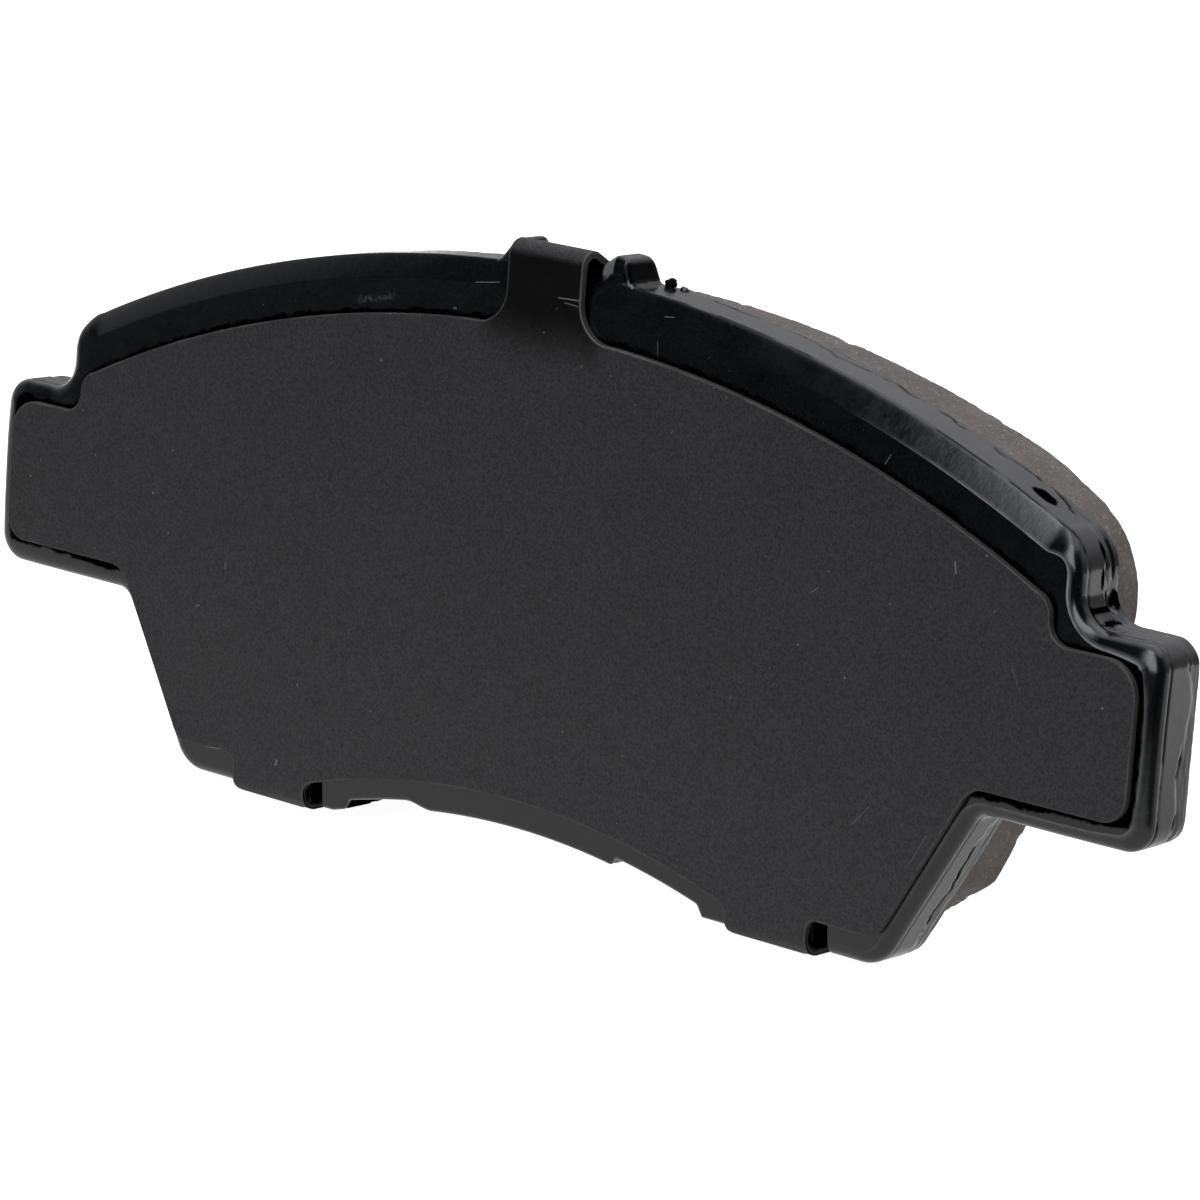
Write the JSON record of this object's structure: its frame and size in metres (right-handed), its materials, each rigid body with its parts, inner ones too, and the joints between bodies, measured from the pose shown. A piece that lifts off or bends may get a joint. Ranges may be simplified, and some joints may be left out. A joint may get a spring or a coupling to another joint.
{
  "type": "brake pad",
  "caption": "Disc brake pad with an eared steel backing plate, a bonded friction block and a clip-on laminated noise shim.",
  "frame": {"origin": "under the middle of the pad, at the level that its lower tabs rest on, half way through its thickness", "axes": "+X along the pad, +Y from the shim towards the rotor, +Z away from the wheel's axle"},
  "size_m": [0.1278, 0.0154, 0.0537],
  "materials": {
    "enamel": "gloss black enamel",
    "adhesive": "cured, matte",
    "underlayer": "moulded, matte, slightly gritty",
    "friction": "moulded friction composite, gritty",
    "sheet_steel": "cold-rolled, dull",
    "damping": "soft, matte",
    "shim_coat": "thin rubber coat, matte"
  },
  "bodies": {
    "pad": {"backing_plate": "enamel", "adhesive_film": "adhesive", "underlayer": "underlayer", "friction_block": "friction"},
    "shim": {"shim_inner_sheet": "sheet_steel", "shim_damping_layer": "damping", "shim_outer_sheet": "sheet_steel", "shim_outer_coat": "shim_coat"}
  },
  "joints": [
    {"name": "shim_pull_off", "type": "slide", "parent": "pad", "child": "shim", "axis": [0, -1, 0], "range_m": [0, 0.008]}
  ]
}
